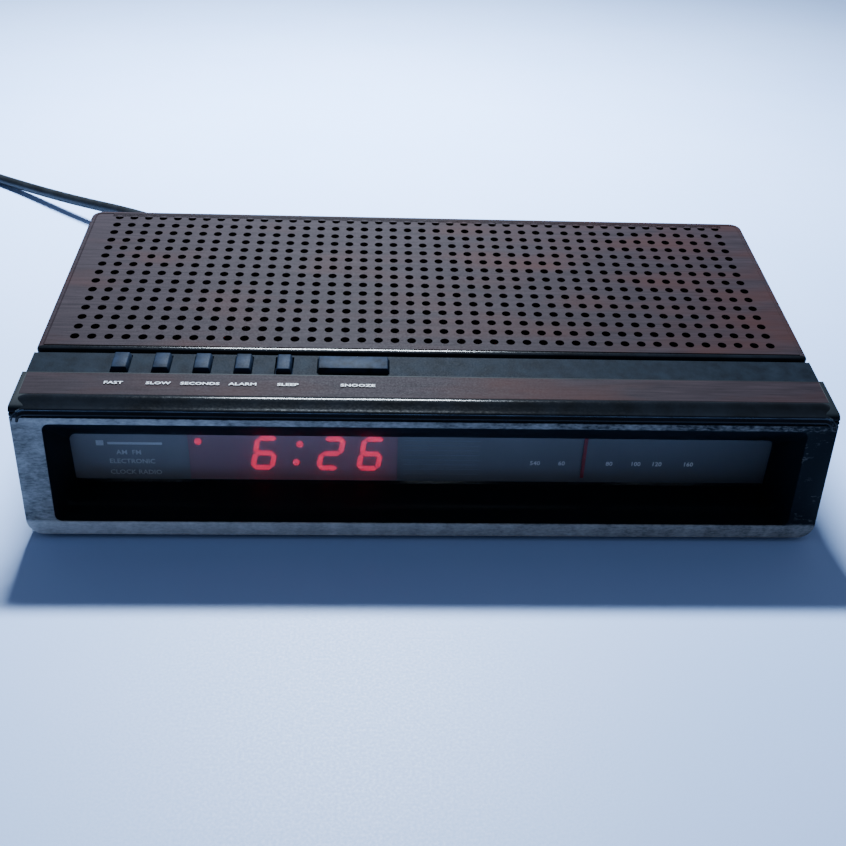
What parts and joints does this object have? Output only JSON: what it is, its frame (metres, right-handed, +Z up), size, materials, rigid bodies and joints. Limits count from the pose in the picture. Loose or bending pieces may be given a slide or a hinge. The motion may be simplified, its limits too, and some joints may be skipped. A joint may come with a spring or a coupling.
{
  "type": "digital clock radio",
  "caption": "Low wedge-shaped mains clock radio with a perforated wood-effect top, a recessed smoked window with a red digital display and tuning scale, push buttons and a mains cord.",
  "frame": {"origin": "middle of the cabinet's footprint, on the surface that it stands on", "axes": "+X to the right seen from the front, +Y to the back, +Z up"},
  "size_m": [0.4985, 0.4117, 0.07],
  "materials": {
    "black_moulding": "moulded black styrene, satin and worn",
    "wood_foil": "printed wood-grain foil",
    "smoked_window": "smoked clear acrylic",
    "dial_print": "printed dial sheet",
    "red_filter": "red tinted filter",
    "black_housing": "black moulded housing",
    "lit_led": "lit red segments",
    "pointer_red": "red moulded blade",
    "phenolic_board": "brown phenolic circuit board",
    "steel": "plated steel",
    "white_plastic": "milky moulded plastic",
    "copper_coil": "enamelled winding under tape",
    "ferrite": "sintered ferrite",
    "paper_cone": "pressed paper",
    "felt": "felt ring",
    "component_black": "moulded component body",
    "rubber_pad": "soft rubber",
    "cord_pvc": "soft black PVC",
    "brass": "plain brass"
  },
  "bodies": {
    "cabinet": {"aerial_brackets": "white_plastic", "aerial_coil": "copper_coil", "audio_chip": "component_black", "band_switch": "black_housing", "base_plate": "black_moulding", "board_screws": "steel", "cabinet_shell": "black_moulding", "case_screws": "steel", "clock_board": "phenolic_board", "clock_chip": "component_black", "control_deck": "black_moulding", "cord_coil": "cord_pvc", "cord_tie": "cord_pvc", "dial_plate": "dial_print", "display_filter": "red_filter", "electrolytic_capacitors": "component_black", "ferrite_rod": "ferrite", "foot_front_left": "rubber_pad", "foot_front_right": "rubber_pad", "foot_rear_left": "rubber_pad", "foot_rear_right": "rubber_pad", "front_bezel": "black_moulding", "function_switch": "black_housing", "grille_cover": "wood_foil", "if_transformers": "steel", "label_strip": "wood_foil", "led_board": "phenolic_board", "led_housing": "black_housing", "lit_segments": "lit_led", "main_board": "phenolic_board", "mains_cord": "cord_pvc", "mains_plug": "cord_pvc", "plug_blades": "brass", "pointer_rail": "steel", "rail_brackets": "steel", "speaker_cone": "paper_cone", "speaker_frame": "steel", "speaker_gasket": "felt", "speaker_magnet": "ferrite", "strain_relief": "cord_pvc", "switch_board": "phenolic_board", "tact_switches": "black_housing", "transformer_coil": "copper_coil", "transformer_core": "steel", "transformer_frame": "steel", "tuning_capacitor": "white_plastic", "volume_pot": "black_housing", "window_lens": "smoked_window"},
    "fast_button": {"fast_button": "black_moulding"},
    "slow_button": {"slow_button": "black_moulding"},
    "seconds_button": {"seconds_button": "black_moulding"},
    "alarm_button": {"alarm_button": "black_moulding"},
    "sleep_button": {"sleep_button": "black_moulding"},
    "snooze_bar": {"snooze_bar": "black_moulding"},
    "tuner": {"tuning_wheel": "black_moulding", "tuning_shaft": "steel"},
    "pointer": {"dial_pointer": "pointer_red"},
    "volume": {"volume_wheel": "black_moulding"},
    "function_slide": {"function_knob": "black_moulding"},
    "band_slide": {"band_knob": "black_moulding"}
  },
  "joints": [
    {"name": "fast_press", "type": "slide", "parent": "cabinet", "child": "fast_button", "axis": [0, 0.1478, -0.989], "range_m": [0, 0.0015], "stiffness_N_per_m": 150},
    {"name": "slow_press", "type": "slide", "parent": "cabinet", "child": "slow_button", "axis": [0, 0.1478, -0.989], "range_m": [0, 0.0015], "stiffness_N_per_m": 150},
    {"name": "seconds_press", "type": "slide", "parent": "cabinet", "child": "seconds_button", "axis": [0, 0.1478, -0.989], "range_m": [0, 0.0015], "stiffness_N_per_m": 150},
    {"name": "alarm_press", "type": "slide", "parent": "cabinet", "child": "alarm_button", "axis": [0, 0.1478, -0.989], "range_m": [0, 0.0015], "stiffness_N_per_m": 150},
    {"name": "sleep_press", "type": "slide", "parent": "cabinet", "child": "sleep_button", "axis": [0, 0.1478, -0.989], "range_m": [0, 0.0015], "stiffness_N_per_m": 150},
    {"name": "snooze_bar_press", "type": "slide", "parent": "cabinet", "child": "snooze_bar", "axis": [0, 0.1478, -0.989], "range_m": [0, 0.0015], "stiffness_N_per_m": 300},
    {"name": "tuning_turn", "type": "hinge", "parent": "cabinet", "child": "tuner", "pos_m": [0.1131, 0.005, 0.0335], "axis": [0, 0, 1], "range_deg": [-60, 120]},
    {"name": "pointer_slide", "type": "slide", "parent": "cabinet", "child": "pointer", "axis": [1, 0, 0], "range_m": [-0.02205, 0.04405]},
    {"name": "volume_turn", "type": "hinge", "parent": "cabinet", "child": "volume", "pos_m": [-0.1261, -0.012, 0.03], "axis": [0, 0, 1], "range_deg": [0, 270]},
    {"name": "function_switch_slide", "type": "slide", "parent": "cabinet", "child": "function_slide", "axis": [0, 1, 0], "range_m": [-0.004, 0.004]},
    {"name": "band_switch_slide", "type": "slide", "parent": "cabinet", "child": "band_slide", "axis": [0, 1, 0], "range_m": [0, 0.004]}
  ],
  "couplings": [
    {"joint": "pointer_slide", "follows": "tuning_turn", "m_per_rad": 0.021008}
  ]
}
